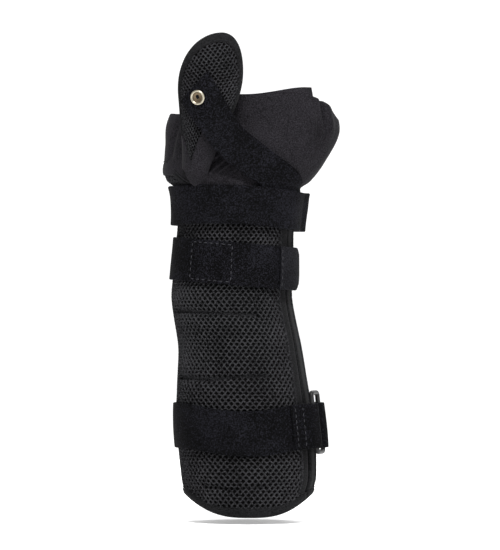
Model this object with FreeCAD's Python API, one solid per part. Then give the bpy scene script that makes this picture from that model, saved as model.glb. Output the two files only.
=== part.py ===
import FreeCAD, Part
import math
import os

# Long wrist and thumb splint in its worn shape, palm side to the front.
# Millimetres. +Z runs along the forearm towards the hand, the palm faces -Y and the thumb is at -X.
# The origin is the centre of the forearm opening, level with the lowest point of the hem.
# Angles on the body are measured from the front (-Y): 90 is the right side, 180 the back, -90 the left.

Vector = FreeCAD.Vector

# ---------------------------------------------------------------- driving dimensions

# Body of the splint: height, centre line in X, half-width. Half-depth falls evenly with height.
BODY = [
    (0, -0.5, 37.5),
    (12, -1, 39.4),
    (25, -0.6, 42.3),
    (60, -3.3, 42.8),
    (105, -6.3, 38.6),
    (135, -11.2, 37.8),
    (150, -10.4, 37.6),
    (175, -9.2, 36.4),
    (190, -8.2, 36.8),
    (204.5, -7.8, 39.2),
    (209, -7.0, 44.6),
    (220, -2.5, 48.7),
    (238, 3.0, 52.6),
    (252, 4.6, 49.5),
    (270, 6, 44),
]
HEM_HALF_DEPTH = 37.0
DEPTH_TAPER = 0.04

# Thumb gutter: height, centre in X, half-width, centre in Y, half-depth.
THUMB = [
    (212, -34, 7, -28, 5),
    (230, -30.5, 11, -29, 11),
    (250, -26.5, 16.5, -32, 15.5),
    (270, -24, 20.3, -33, 17),
    (300, -22, 20, -34, 16),
]

GAP = 0.3               # between layers that lie on each other
MESH = 3.0              # spacer mesh of the forearm panels
LINING = 0.9
SLEEVE = 1.5            # stretch fabric round the hand
WEBBING = 1.7           # loop-faced strap
HOOK = 1.2              # hook tape
CLOTH = 0.6             # pocket cloth and seam tape
BINDING_OUT = 0.4       # how far an edge binding stands proud of the mesh

LAY = BINDING_OUT + GAP # straps and panels that lie on the shell clear its bindings

WRIST_SEAM = 189.5      # forearm panels below, hand sleeve above
WRIST_CLIMB = 24.0      # how far that seam climbs over the base of the thumb
CLIMB_ANGLES = (25, 66) # it is level again this far round from the left seam
HEM_RISE = 13.0         # the hem is higher at the sides than at front and back
HEM_SHAPE = 3.1         # the larger, the flatter it runs in front and behind
HEM_WIDTH = 6.0
FRONT_EDGE = 64.0       # the shell is open between these two angles
BACK_EDGE = 66.0
EDGE_TAPE = 14.0        # angle that each vertical binding covers
LEFT_SEAM = -90.0
SEAM_COVER = 7.0        # angle that the inner seam tape covers on each side
SEAM_COVER_FOOT = 23.0

FRONT_SLEEVE_EDGE = 46.0
SLEEVE_RIM = 262.0
PALM_RIM_RISE = 4.5     # the rim is higher over the palm, and lower at the thumb and at the two sides
THUMB_RIM_DROP = 14.0
SIDE_RIM_DROP = 15.0
SIDE_RIM_SHAPE = 8

THUMB_BASE = (-118, -27)        # angles between which the panel over the base of the thumb lies
BASE_LOW = 203.0
BASE_LOW_RISE = 16.0
BASE_HIGH = 250.0
BASE_HIGH_DROP = 24.0
PIPING = (-2.4, -0.5)   # heights of the piping, from the panel's lower edge
PIPING_THICKNESS = 1.7

TOP_STRAP = 12.1        # half-widths of the straps
MIDDLE_STRAP = 13.3
BOTTOM_STRAP = 14.0
TOP_LEVEL = 191.0       # heights of their middle lines
TOP_TILT = 2.0          # all three are a little lower or higher on the right than on the left
TOP_ARCH = 2.6          # how far the strap arches up in front
MIDDLE_LEVEL = 157.0
MIDDLE_TILT = 3.4
BOTTOM_DIP = 4.6        # how far the strap dips in front
BOTTOM_DIP_TURN = 1.45  # it is level again where this many times the angle makes a quarter turn
PEEL_ANGLE = 5.0        # where the free ends of the upper two straps begin
BAND_END = 364.5        # where the fixed parts of those straps end
TOP_TAIL = 128.0        # angle at the tip of each strap
MIDDLE_TAIL = 84.0
BOTTOM_TAIL = 152.0
BOTTOM_WEBBING = 1.5

STAY_RADIUS = 44.0      # both straight stays are cupped to this radius
STAY_WIDTH = 14.0
STAY_THICKNESS = 1.0
STAY_FOOT = 20.0
STAY_LENGTH = 160.0
STAY_DEPTH = 6.0        # from the outside of the mesh to the middle of the stay
STAY_LEAN = -0.047      # the stays lean towards the thumb, mm per mm of height
STAY_FOOT_X = -1.5
POCKET_PLAY = 0.9
POCKET_SIDE = 1.2

BAR = 1.5               # radius of the ring's bars
RING_HEIGHT = 40.0
RING_LIFT = 2.0         # the ring has slid up in its loops
RING_ANGLE = 66.0       # front bar
RING_BACK_ANGLE = 84.0
RING_STAND_OFF = 4.5
RING_LEVEL = 56.5
RING_CORNER = 2.2       # radius of its corners, on the middle line of the bars
LOOP_PLAY = 0.5         # between a bar and the webbing round it

THUMB_MESH = 2.6
THUMB_TOP = 299.0
THUMB_CORNER = 250.0
THUMB_FOOT = 212.0
THUMB_APEX = 15.0       # angle round the gutter's own axis
THUMB_RIGHT = 78.0
THUMB_LEFT = -100.0
THUMB_TAPE = 4.0
THUMB_TAPE_ANGLE = 11.5
THUMB_LINING = 0.8
THUMB_LINING_DEPTH = 4.4        # from the outside of the mesh; the bendable stay lies in between
THUMB_STAY = 1.2
THUMB_STAY_ANGLES = (8, 44)
THUMB_STAY_HEIGHTS = (228, 282)

# Diagonal thumb strap, from its square end on the gutter to the wrist:
# lower edge, upper edge, and how far the middle is pushed out.
THUMB_STRAP = [
    ((-42.2, -41.5, 257.3), (-26.0, -53.0, 275.3), 3.0),
    ((-31.6, -46.0, 241.2), (-16.1, -49.5, 258.5), 2.2),
    ((-21.7, -40.5, 227.5), (-6.2, -42.0, 243.0), 0.8),
    ((-8.0, -32.5, 215.0), (9.3, -32.0, 230.0), 0.4),
    ((6.2, -28.4, 206.4), (24.8, -24.2, 218.2), 0.9),
]
# The strap's sewn-down end, under the top strap: angle and height along its two edges.
TUCK_LOW = [(0, 18, 206.4), (1, 47, 192), (2, 62, 181)]
TUCK_HIGH = [(0, 35, 218.2), (1, 75, 202), (2, 88, 190)]
TUCK_THICKNESS = 1.3
TUCK_SLACK = 0.4                # room between the shell and that end
STUD_PLACE = (0.36, -0.12)      # along and across the strap
CAP_RADIUS = 4.7
CAP_HOLE = 2.6
SHANK_RADIUS = 3.0
FLANGE_RADIUS = 4.1
POST_RADIUS = 1.3
POST_HEAD = 1.4
POST_FLANGE = -2.4              # levels along the stud, from the strap's inner face
WASHER_LEVEL = -9.0
SOCKET_TOP = -0.6
DISC = 0.6                      # thickness of the flange and the washer


# ---------------------------------------------------------------- shapes of the surfaces

def along(stations, height, column):
    """Smooth value of one column of a station list at a height."""
    last = len(stations) - 1
    first = 0
    while first < last - 1 and height > stations[first + 1][0]:
        first += 1

    def slope(index):
        low = stations[max(index - 1, 0)]
        high = stations[min(index + 1, last)]
        return (high[column] - low[column]) / (high[0] - low[0])

    start = stations[first]
    end = stations[first + 1]
    span = end[0] - start[0]
    t = (height - start[0]) / span
    hermite_start = (1 + 2 * t) * (1 - t) ** 2 * start[column] + t * (1 - t) ** 2 * slope(first) * span
    hermite_end = t * t * (3 - 2 * t) * end[column] + t * t * (t - 1) * slope(first + 1) * span
    return hermite_start + hermite_end


def ease(value, low, high):
    """0 below low, 1 above high, smooth between."""
    t = min(max((value - low) / (high - low), 0.0), 1.0)
    return t * t * (3 - 2 * t)


def wall(angle, height, offset=0.0):
    """Point on the body; offset is outwards from the face of the mesh."""
    turn = math.radians(angle)
    half_width = along(BODY, height, 2) + offset
    half_depth = HEM_HALF_DEPTH - DEPTH_TAPER * height + offset
    x = along(BODY, height, 1) + half_width * math.sin(turn)
    return Vector(x, -half_depth * math.cos(turn), height)


def gutter(angle, height, offset=0.0):
    """Point on the thumb gutter; offset is outwards from the face of its mesh."""
    turn = math.radians(angle)
    half_width = along(THUMB, height, 2) + offset
    half_depth = along(THUMB, height, 4) + offset
    x = along(THUMB, height, 1) + half_width * math.sin(turn)
    y = along(THUMB, height, 3) - half_depth * math.cos(turn)
    return Vector(x, y, height)


def hem(angle):
    return HEM_RISE * abs(math.sin(math.radians(angle))) ** HEM_SHAPE


def wrist_line(angle):
    """Seam between the forearm panels and the hand sleeve; it climbs over the base of the thumb."""
    from_left = abs((angle - LEFT_SEAM + 180) % 360 - 180)
    return WRIST_SEAM + WRIST_CLIMB * (1 - ease(from_left, CLIMB_ANGLES[0], CLIMB_ANGLES[1]))


# ---------------------------------------------------------------- solids

SAME_DIRECTION = 1      # a ruled face joins the starts of its two edges


def steps(start, end, count):
    return [start + (end - start) * i / (count - 1) for i in range(count)]


def solid_between(inner, outer, us, vs):
    """Closed solid between two point functions taken over the same grid."""
    patches = []
    for surface in (inner, outer):
        patch = Part.BSplineSurface()
        patch.interpolate([[surface(u, v) for v in vs] for u in us])
        patches.append(patch)
    faces = [patch.toShape() for patch in patches]
    for side in range(4):
        edges = []
        for patch in patches:
            limits = patch.bounds()
            iso = patch.uIso if side < 2 else patch.vIso
            edges.append(iso(limits[side]).toShape())
        faces.append(Part.makeRuledSurface(edges[0], edges[1], SAME_DIRECTION))
    shell = Part.makeShell(faces)
    shell.sewShape()
    solid = Part.makeSolid(shell)
    if solid.Volume < 0:
        solid.reverse()
    return solid


def body_layer(angles, low, high, inside, outside):
    """A layer of cloth on the body between two angles and two height functions."""
    def place(offset):
        return lambda angle, t: wall(angle, low(angle) + t * (high(angle) - low(angle)), offset)

    count = max(4, int(abs(angles[1] - angles[0]) / 7) + 1)
    rows = max(3, int((high(angles[0]) - low(angles[0])) / 4))
    across = steps(angles[0], angles[1], count)
    return solid_between(place(inside), place(outside), across, steps(0, 1, rows))


def strap(angles, level, half_width, inside, thickness):
    """A strap round the body. level and inside are functions of the angle."""
    def place(extra):
        return lambda angle, t: wall(angle, level(angle) + t * half_width, inside(angle) + extra)

    count = max(4, int(abs(angles[1] - angles[0]) / 5) + 1)
    return solid_between(place(0), place(thickness), steps(angles[0], angles[1], count), steps(-1, 1, 5))


def always(value):
    return lambda angle: value


# ---------------------------------------------------------------- forearm shell

def hem_seam(angle):
    return hem(angle) + HEM_WIDTH


def above_hem(angle):
    return hem_seam(angle) + GAP


def forearm_shell():
    front = (LEFT_SEAM + GAP, FRONT_EDGE - EDGE_TAPE - GAP)
    back = (BACK_EDGE + EDGE_TAPE + GAP, LEFT_SEAM + 360 - GAP)
    front_tape = (FRONT_EDGE - EDGE_TAPE, FRONT_EDGE)
    back_tape = (BACK_EDGE, BACK_EDGE + EDGE_TAPE)
    seam = (LEFT_SEAM - SEAM_COVER, LEFT_SEAM + SEAM_COVER)
    seam_foot = always(SEAM_COVER_FOOT)
    top = always(WRIST_SEAM)
    lining_out = -MESH - GAP
    lining_in = lining_out - LINING
    cover_out = lining_in - GAP
    return {
        "front_mesh_panel": body_layer(front, above_hem, wrist_line, -MESH, 0),
        "back_mesh_panel": body_layer(back, above_hem, wrist_line, -MESH, 0),
        "front_lining": body_layer(front, above_hem, wrist_line, lining_in, lining_out),
        "back_lining": body_layer(back, above_hem, wrist_line, lining_in, lining_out),
        "hem_binding": body_layer((FRONT_EDGE, BACK_EDGE - 360), hem, hem_seam, lining_in, BINDING_OUT),
        "front_edge_binding": body_layer(front_tape, above_hem, top, lining_in, BINDING_OUT),
        "back_edge_binding": body_layer(back_tape, above_hem, top, lining_in, BINDING_OUT),
        "left_seam_tape": body_layer(seam, seam_foot, top, cover_out - CLOTH, cover_out),
    }


def stay_frame(side):
    """Foot of a stay, its direction up the arm, and outwards; side is -1 in front, 1 behind."""
    depth = HEM_HALF_DEPTH - STAY_DEPTH - DEPTH_TAPER * STAY_FOOT
    foot = Vector(STAY_FOOT_X, side * depth, STAY_FOOT)
    up = Vector(STAY_LEAN, -side * DEPTH_TAPER, 1).normalize()
    out = Vector(0, side, DEPTH_TAPER).normalize()
    return foot, up, out


def cupped_bar(side, inner, outer, half_width, start, length):
    """Bar with a section between two arcs, running along a stay's direction."""
    foot, up, out = stay_frame(side)
    across = up.cross(out).normalize()
    centre = foot - out * STAY_RADIUS + up * start
    half_angle = half_width / STAY_RADIUS

    def at(radius, angle):
        return centre + out * (radius * math.cos(angle)) + across * (radius * math.sin(angle))

    low = STAY_RADIUS + inner
    high = STAY_RADIUS + outer
    edges = [
        Part.Arc(at(low, -half_angle), at(low, 0), at(low, half_angle)).toShape(),
        Part.makeLine(at(low, half_angle), at(high, half_angle)),
        Part.Arc(at(high, half_angle), at(high, 0), at(high, -half_angle)).toShape(),
        Part.makeLine(at(high, -half_angle), at(low, -half_angle)),
    ]
    return Part.Face(Part.Wire(edges)).extrude(up * length)


def stays():
    parts = {}
    half = STAY_THICKNESS / 2
    for name, side in (("palmar", -1), ("dorsal", 1)):
        parts[name + "_stay"] = cupped_bar(side, -half, half, STAY_WIDTH / 2, 0, STAY_LENGTH)
        room = STAY_WIDTH / 2 + POCKET_SIDE
        cloth = cupped_bar(side, -POCKET_PLAY - CLOTH, half, room + CLOTH, 0, STAY_LENGTH + 2)
        hollow = cupped_bar(side, -POCKET_PLAY, POCKET_PLAY + 1, room, -1, STAY_LENGTH + 2)
        parts[name + "_stay_pocket"] = cloth.cut(hollow)
    return parts


# ---------------------------------------------------------------- hand

def front_rim(angle):
    return SLEEVE_RIM + PALM_RIM_RISE * ease(angle, -10, 40) - THUMB_RIM_DROP * (1 - ease(angle, -75, -20))


def back_rim(angle):
    return SLEEVE_RIM - SIDE_RIM_DROP * abs(math.sin(math.radians(angle))) ** SIDE_RIM_SHAPE


def hand_sleeve():
    def foot(angle):
        return wrist_line(angle) + GAP

    front = (LEFT_SEAM + GAP, FRONT_SLEEVE_EDGE)
    back = (FRONT_SLEEVE_EDGE + 1, LEFT_SEAM + 360 - GAP)
    return {
        "hand_sleeve_palm": body_layer(front, foot, front_rim, -SLEEVE, 0),
        "hand_sleeve_back": body_layer(back, foot, back_rim, -SLEEVE, 0),
    }


def base_low(angle):
    """Lower edge of the panel over the base of the thumb."""
    return BASE_LOW + BASE_LOW_RISE * ease(-angle, 25, 80)


def base_high(angle):
    return BASE_HIGH - BASE_HIGH_DROP * ease(angle, -62, -30)


def thumb_base():
    def piping_low(angle):
        return base_low(angle) + PIPING[0]

    def piping_high(angle):
        return base_low(angle) + PIPING[1]

    return {
        "thumb_base_panel": body_layer(THUMB_BASE, base_low, base_high, LAY, LAY + WEBBING),
        "thumb_base_piping": body_layer(THUMB_BASE, piping_low, piping_high, LAY, LAY + PIPING_THICKNESS),
    }


# ---------------------------------------------------------------- thumb gutter

def gutter_edge(turn, inset):
    """Angle and height on the gutter's arched outline; turn runs from -90 (left) to 90 (right)."""
    swing = math.radians(turn)
    right = turn >= 0
    half = (THUMB_RIGHT - THUMB_APEX) if right else (THUMB_APEX - THUMB_LEFT)
    half -= inset * THUMB_TAPE_ANGLE / THUMB_TAPE
    power = 0.75 if right else 1.4
    rise = (THUMB_TOP - THUMB_CORNER - inset) * max(math.cos(swing), 0.0) ** power
    return THUMB_APEX + half * math.sin(swing), THUMB_CORNER + rise


def gutter_layer(inside, outside, inset, foot=THUMB_FOOT):
    def place(offset):
        def point(turn, t):
            angle, top = gutter_edge(turn, inset)
            return gutter(angle, foot + t * (top - foot), offset)
        return point

    return solid_between(place(inside), place(outside), steps(-90, 90, 17), steps(0, 1, 9))


def gutter_binding(inside, outside):
    """Tape round the gutter: up the right side, over the arch and down the left side."""
    def place(offset):
        def point(s, inset):
            if abs(s) <= 1:
                angle, height = gutter_edge(90 * s, inset)
            else:
                angle = gutter_edge(90 * s / abs(s), inset)[0]
                height = THUMB_CORNER - (THUMB_CORNER - THUMB_FOOT) * (abs(s) - 1)
            return gutter(angle, height, offset)
        return point

    return solid_between(place(inside), place(outside), steps(-2, 2, 33), [THUMB_TAPE - GAP, 1.5, 0])


def thumb_gutter():
    lining_out = -THUMB_LINING_DEPTH
    lining_in = lining_out - THUMB_LINING
    lining_foot = THUMB_FOOT + 10
    stay_out = -THUMB_MESH - GAP
    edge = THUMB_TAPE + 0.7

    def stay_place(offset):
        return lambda angle, height: gutter(angle, height, offset)

    angles = steps(THUMB_STAY_ANGLES[0], THUMB_STAY_ANGLES[1], 6)
    heights = steps(THUMB_STAY_HEIGHTS[0], THUMB_STAY_HEIGHTS[1], 7)
    stay = solid_between(stay_place(stay_out - THUMB_STAY), stay_place(stay_out), angles, heights)
    foot, pull = stud_axis()
    seat = tube(foot, pull, POST_FLANGE, 6, FLANGE_RADIUS + 0.2)
    hole = tube(foot, pull, WASHER_LEVEL, 0, POST_RADIUS + 0.05)
    return {
        "thumb_panel": gutter_layer(-THUMB_MESH, 0, edge).cut(seat).cut(hole),
        "thumb_lining": gutter_layer(lining_in, lining_out, edge, lining_foot).cut(hole),
        "thumb_binding": gutter_binding(-THUMB_MESH, BINDING_OUT),
        "thumb_stay": stay,
    }


# ---------------------------------------------------------------- straps

def top_level(angle):
    turn = math.radians(angle)
    return TOP_LEVEL - TOP_TILT * math.sin(turn) + TOP_ARCH * max(math.cos(turn), 0) ** 2


def middle_level(angle):
    return MIDDLE_LEVEL - MIDDLE_TILT * math.sin(math.radians(angle))


def bottom_level(angle):
    turn = min(abs((angle + 180) % 360 - 180) * BOTTOM_DIP_TURN, 90)
    return RING_LEVEL - BOTTOM_DIP * math.cos(math.radians(turn)) ** 2


def upper_straps():
    second = LAY + WEBBING + GAP
    third = second + WEBBING + GAP
    over_hooks = third + HOOK + GAP

    def top_tail(angle):
        return second + (over_hooks - second) * ease(angle, 84, 98)

    return {
        "top_strap_band": strap((100, BAND_END), top_level, TOP_STRAP, always(second), WEBBING),
        "top_strap_end": strap((PEEL_ANGLE, TOP_TAIL), top_level, TOP_STRAP, top_tail, WEBBING),
        "top_strap_hook": strap((102, TOP_TAIL - 1), top_level, TOP_STRAP - 1, always(third), HOOK),
        "middle_strap_band": strap((68, BAND_END), middle_level, MIDDLE_STRAP, always(LAY), WEBBING),
        "middle_strap_end": strap((PEEL_ANGLE, 62), middle_level, MIDDLE_STRAP, always(LAY), WEBBING),
        "middle_strap_hook": strap((46, MIDDLE_TAIL), middle_level, MIDDLE_STRAP, always(second), HOOK),
    }


def bottom_strap():
    half = BOTTOM_STRAP
    loop_in = BAR + LOOP_PLAY
    loop_out = loop_in + BOTTOM_WEBBING

    def bar_point(angle, rise):
        """Point on the line of one of the ring's two long bars; the bars follow the slope of the arm."""
        low = wall(angle, RING_LEVEL - half, RING_STAND_OFF)
        high = wall(angle, RING_LEVEL + half, RING_STAND_OFF)
        return (low + high) / 2 + (high - low).normalize() * rise

    def rod(start, finish, radius):
        return Part.makeCylinder(radius, start.distanceToPoint(finish), start, finish - start)

    def bar(angle, radius, reach):
        return rod(bar_point(angle, -reach), bar_point(angle, reach), radius)

    def loop(angle):
        return bar(angle, loop_out, half).cut(bar(angle, loop_in, half + 1))

    def ring():
        """Round bar swept round a rectangle with rounded corners, in the plane of the two long bars."""
        front = bar_point(RING_ANGLE, RING_LIFT)
        back = bar_point(RING_BACK_ANGLE, RING_LIFT)
        up = (bar_point(RING_ANGLE, 1) - bar_point(RING_ANGLE, -1)).normalize()
        across = back - front
        across = (across - up * across.dot(up)).normalize()
        width = (back - front).dot(across) / 2
        reach = RING_HEIGHT / 2 - BAR
        middle = (front + back) / 2

        def at(right, rise):
            return middle + across * right + up * rise

        edges = []
        for right, rise in ((1, 1), (-1, 1), (-1, -1), (1, -1)):
            centre = (right * (width - RING_CORNER), rise * (reach - RING_CORNER))
            side = at(right * width, centre[1])
            end = at(centre[0], rise * reach)
            bulge = RING_CORNER * math.sqrt(0.5)
            turn = at(centre[0] + right * bulge, centre[1] + rise * bulge)
            start, finish = (side, end) if right * rise > 0 else (end, side)
            if edges:
                edges.append(Part.makeLine(edges[-1].lastVertex().Point, start))
            edges.append(Part.Arc(start, turn, finish).toShape())
        edges.append(Part.makeLine(edges[-1].lastVertex().Point, edges[0].firstVertex().Point))
        path = Part.Wire(edges)
        start = edges[0].firstVertex().Point
        section = Part.Wire([Part.Circle(start, up, BAR).toShape()])
        return path.makePipeShell([section], True, False)

    def looped(first, last, bar_angle):
        run = strap((first, last), bottom_level, half, always(LAY), BOTTOM_WEBBING)
        return run.cut(bar(bar_angle, loop_in, half + 2)).fuse(loop(bar_angle)).removeSplitter()

    over_ring = RING_STAND_OFF + loop_in + 0.1
    hooks = LAY + BOTTOM_WEBBING + GAP
    over_hooks = hooks + HOOK + GAP
    free_end = (RING_BACK_ANGLE + 6, BOTTOM_TAIL)

    def tail(angle):
        return over_ring - (over_ring - over_hooks) * ease(angle, 92, 118)

    return {
        "bottom_strap_band": looped(-92, RING_ANGLE - 3, RING_ANGLE),
        "bottom_ring": ring(),
        "bottom_pull_band": looped(RING_BACK_ANGLE + 2, 266, RING_BACK_ANGLE),
        "bottom_strap_end": strap(free_end, bottom_level, half, tail, BOTTOM_WEBBING),
        "bottom_strap_hook": strap((124, BOTTOM_TAIL - 1), bottom_level, half - 1, always(hooks), HOOK),
    }


# ---------------------------------------------------------------- diagonal strap and press stud

def diagonal(place, side, push=0.0):
    """Point on the inner face of the thumb strap; side runs from -1 (lower edge) to 1 (upper edge)."""
    def edge(which, axis):
        stations = [(index, row[which][axis]) for index, row in enumerate(THUMB_STRAP)]
        return along(stations, place, 1)

    bulge = along([(index, row[2]) for index, row in enumerate(THUMB_STRAP)], place, 1)
    lower = Vector(edge(0, 0), edge(0, 1), edge(0, 2))
    upper = Vector(edge(1, 0), edge(1, 1), edge(1, 2))
    point = lower * ((1 - side) / 2) + upper * ((1 + side) / 2)
    point.y -= bulge * (1 - side * side)
    if push:
        point += diagonal_normal(place, side) * push
    return point


def diagonal_normal(place, side):
    step = 0.01
    forward = diagonal(min(place + step, 4), side) - diagonal(max(place - step, 0), side)
    sideways = diagonal(place, side + step) - diagonal(place, side - step)
    normal = sideways.cross(forward).normalize()
    return normal if normal.y < 0 else normal * -1


def lift_axis():
    """Two points on the fold line of the thumb strap, at the wrist."""
    end = len(THUMB_STRAP) - 1
    return diagonal(end, -1), diagonal(end, 1)


def stud_axis():
    """Foot of the stud on the strap's inner face, and its direction, square to the strap."""
    foot = diagonal(STUD_PLACE[0], STUD_PLACE[1])
    return foot, diagonal_normal(STUD_PLACE[0], STUD_PLACE[1])


def tube(foot, axis, start, end, radius, bore=0.0):
    body = Part.makeCylinder(radius, end - start, foot + axis * start, axis)
    if bore:
        body = body.cut(Part.makeCylinder(bore, end - start + 2, foot + axis * (start - 1), axis))
    return body


def tuck(offset):
    """Point function of the strap's sewn-down end, at an offset from the body."""
    def point(run, side):
        weight = (1 + side) / 2
        angle = along(TUCK_LOW, run, 1) * (1 - weight) + along(TUCK_HIGH, run, 1) * weight
        height = along(TUCK_LOW, run, 2) * (1 - weight) + along(TUCK_HIGH, run, 2) * weight
        return wall(angle, height, offset)

    return point


def thumb_strap():
    def outside(run, side):
        return diagonal(run, side, WEBBING)

    fold = len(THUMB_STRAP) - 1
    across = steps(-1, 1, 7)
    band = solid_between(diagonal, outside, steps(0, fold - 0.01, 21), across)
    foot, pull = stud_axis()
    band = band.cut(tube(foot, pull, -4, 5, SHANK_RADIUS + 0.15))
    inner = LAY + TUCK_SLACK
    anchor = solid_between(tuck(inner), tuck(inner + TUCK_THICKNESS), steps(0.06, 2, 21), steps(-1, 1, 11))
    return {"thumb_strap": band, "thumb_strap_anchor": anchor}


def press_stud():
    """Ring cap and socket on the strap; post and washer on the thumb gutter."""
    foot, pull = stud_axis()
    cap = tube(foot, pull, WEBBING + 0.3, WEBBING + 1.3, CAP_RADIUS, CAP_HOLE)
    cap = cap.fuse(tube(foot, pull, SOCKET_TOP, WEBBING + 0.6, SHANK_RADIUS, CAP_HOLE))
    flange_top = POST_FLANGE + DISC
    post = tube(foot, pull, POST_FLANGE, flange_top, FLANGE_RADIUS)
    post = post.fuse(tube(foot, pull, flange_top - 0.3, SOCKET_TOP, POST_HEAD))
    post = post.fuse(tube(foot, pull, WASHER_LEVEL, POST_FLANGE + 0.3, POST_RADIUS))
    return {
        "stud_cap": cap.removeSplitter(),
        "stud_socket": tube(foot, pull, flange_top + 0.25, SOCKET_TOP, FLANGE_RADIUS - 0.3, CAP_HOLE),
        "stud_post": post.removeSplitter(),
        "stud_washer": tube(
            foot, pull, WASHER_LEVEL, WASHER_LEVEL + DISC, FLANGE_RADIUS - 0.4, POST_RADIUS + 0.05),
    }


# ---------------------------------------------------------------- all pieces

def main():
    os.makedirs("parts", exist_ok=True)
    parts = {}
    for group in (forearm_shell, stays, hand_sleeve, thumb_base, thumb_gutter, upper_straps, bottom_strap,
                  thumb_strap, press_stud):
        parts.update(group())
    for name, shape in parts.items():
        shape.exportStep("parts/" + name + ".step")
        print("%-22s %9.1f mm3  %s" % (name, shape.Volume, "valid" if shape.isValid() else "NOT VALID"))


main()
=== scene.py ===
import math

import bpy
import numpy as np
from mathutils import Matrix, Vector


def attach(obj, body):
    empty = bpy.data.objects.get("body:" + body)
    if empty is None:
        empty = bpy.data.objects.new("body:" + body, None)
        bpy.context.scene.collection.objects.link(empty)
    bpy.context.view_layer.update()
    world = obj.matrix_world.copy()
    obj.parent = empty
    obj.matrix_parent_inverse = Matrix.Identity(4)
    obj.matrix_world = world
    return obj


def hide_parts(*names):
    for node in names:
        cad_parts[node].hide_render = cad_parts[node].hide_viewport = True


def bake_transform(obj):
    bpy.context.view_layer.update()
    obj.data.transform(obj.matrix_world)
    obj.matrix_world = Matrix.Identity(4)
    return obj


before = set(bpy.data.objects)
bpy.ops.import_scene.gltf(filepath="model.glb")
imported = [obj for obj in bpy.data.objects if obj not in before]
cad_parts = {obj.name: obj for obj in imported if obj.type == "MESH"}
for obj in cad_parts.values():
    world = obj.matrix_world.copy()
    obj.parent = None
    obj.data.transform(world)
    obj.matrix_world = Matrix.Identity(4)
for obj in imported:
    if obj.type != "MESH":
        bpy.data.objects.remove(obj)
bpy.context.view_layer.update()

# Long wrist and thumb splint, palm side to the camera. Lengths are millimetres until a mesh is made.
# Angles on the body are measured from the front: 90 is the right side, 180 the back, -90 the left.

MM = 0.001

# ---------------------------------------------------------------- the splint's own surfaces

BODY = np.array([   # height, centre line in X, half-width
    (0, -0.5, 37.5), (12, -1, 39.4), (25, -0.6, 42.3), (60, -3.3, 42.8), (105, -6.3, 38.6),
    (135, -11.2, 37.8), (150, -10.4, 37.6), (175, -9.2, 36.4), (190, -8.2, 36.8), (204.5, -7.8, 39.2),
    (209, -7.0, 44.6), (220, -2.5, 48.7), (238, 3.0, 52.6), (252, 4.6, 49.5), (270, 6, 44)])
HEM_HALF_DEPTH = 37.0
DEPTH_TAPER = 0.04

THUMB = np.array([  # height, centre in X, half-width, centre in Y, half-depth
    (212, -34, 7, -28, 5), (230, -30.5, 11, -29, 11), (250, -26.5, 16.5, -32, 15.5),
    (270, -24, 20.3, -33, 17), (300, -22, 20, -34, 16)])

LAY = 0.7
WEBBING = 1.7
GAP = 0.3
SECOND = LAY + WEBBING + GAP
HOOK = 1.2
WRIST_SEAM = 189.5
LEFT_SEAM = -90.0
HEM_RISE = 13.0
HEM_WIDTH = 6.0
FRONT_EDGE = 64.0
BACK_EDGE = 66.0
EDGE_TAPE = 14.0
FRONT_SLEEVE_EDGE = 46.0
TOP_LEVEL, TOP_TILT, TOP_ARCH, TOP_HALF = 191.0, 2.0, 2.6, 12.1
MIDDLE_LEVEL, MIDDLE_TILT, MIDDLE_HALF = 157.0, 3.4, 13.3
BOTTOM_DIP, BOTTOM_DIP_TURN = 4.6, 1.45
RING_LEVEL, BOTTOM_HALF = 56.5, 14.0
RING_ANGLE, RING_BACK_ANGLE, RING_STAND_OFF, BAR = 66.0, 84.0, 4.5, 1.5
RING_HEIGHT, RING_LIFT = 40.0, 2.0

THUMB_STRAP_LOW = np.array([
    (0, -42.2, -41.5, 257.3), (1, -31.6, -46.0, 241.2), (2, -21.7, -40.5, 227.5), (3, -8.0, -32.5, 215.0),
    (4, 6.2, -28.4, 206.4)])
THUMB_STRAP_HIGH = np.array([
    (0, -26.0, -53.0, 275.3), (1, -16.1, -49.5, 258.5), (2, -6.2, -42.0, 243.0), (3, 9.3, -32.0, 230.0),
    (4, 24.8, -24.2, 218.2)])
THUMB_STRAP_BULGE = np.array([(0, 3.0), (1, 2.2), (2, 0.8), (3, 0.4), (4, 0.9)])


def along(stations, at, column):
    """Smooth value of one column of a station list; at may be an array."""
    at = np.asarray(at, float)
    keys = stations[:, 0]
    values = stations[:, column]
    last = len(keys) - 1
    before = np.maximum(np.arange(last + 1) - 1, 0)
    after = np.minimum(np.arange(last + 1) + 1, last)
    slopes = (values[after] - values[before]) / (keys[after] - keys[before])
    i = np.clip(np.searchsorted(keys, at, side="left") - 1, 0, last - 1)
    span = keys[i + 1] - keys[i]
    t = (at - keys[i]) / span
    start = (1 + 2 * t) * (1 - t) ** 2 * values[i] + t * (1 - t) ** 2 * slopes[i] * span
    end = t * t * (3 - 2 * t) * values[i + 1] + t * t * (t - 1) * slopes[i + 1] * span
    return start + end


def ease(value, low, high):
    t = np.clip((np.asarray(value, float) - low) / (high - low), 0, 1)
    return t * t * (3 - 2 * t)


def bump(value, centre, width):
    """1 at the centre, fading to 0 about one width away."""
    return np.exp(-((np.asarray(value, float) - centre) / width) ** 2 * 2)


def wall(angle, height, offset=0.0):
    angle, height, offset = np.broadcast_arrays(*(np.asarray(x, float) for x in (angle, height, offset)))
    turn = np.radians(angle)
    half_width = along(BODY, height, 2) + offset
    half_depth = HEM_HALF_DEPTH - DEPTH_TAPER * height + offset
    x = along(BODY, height, 1) + half_width * np.sin(turn)
    return np.stack([x, -half_depth * np.cos(turn), height], -1)


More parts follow.
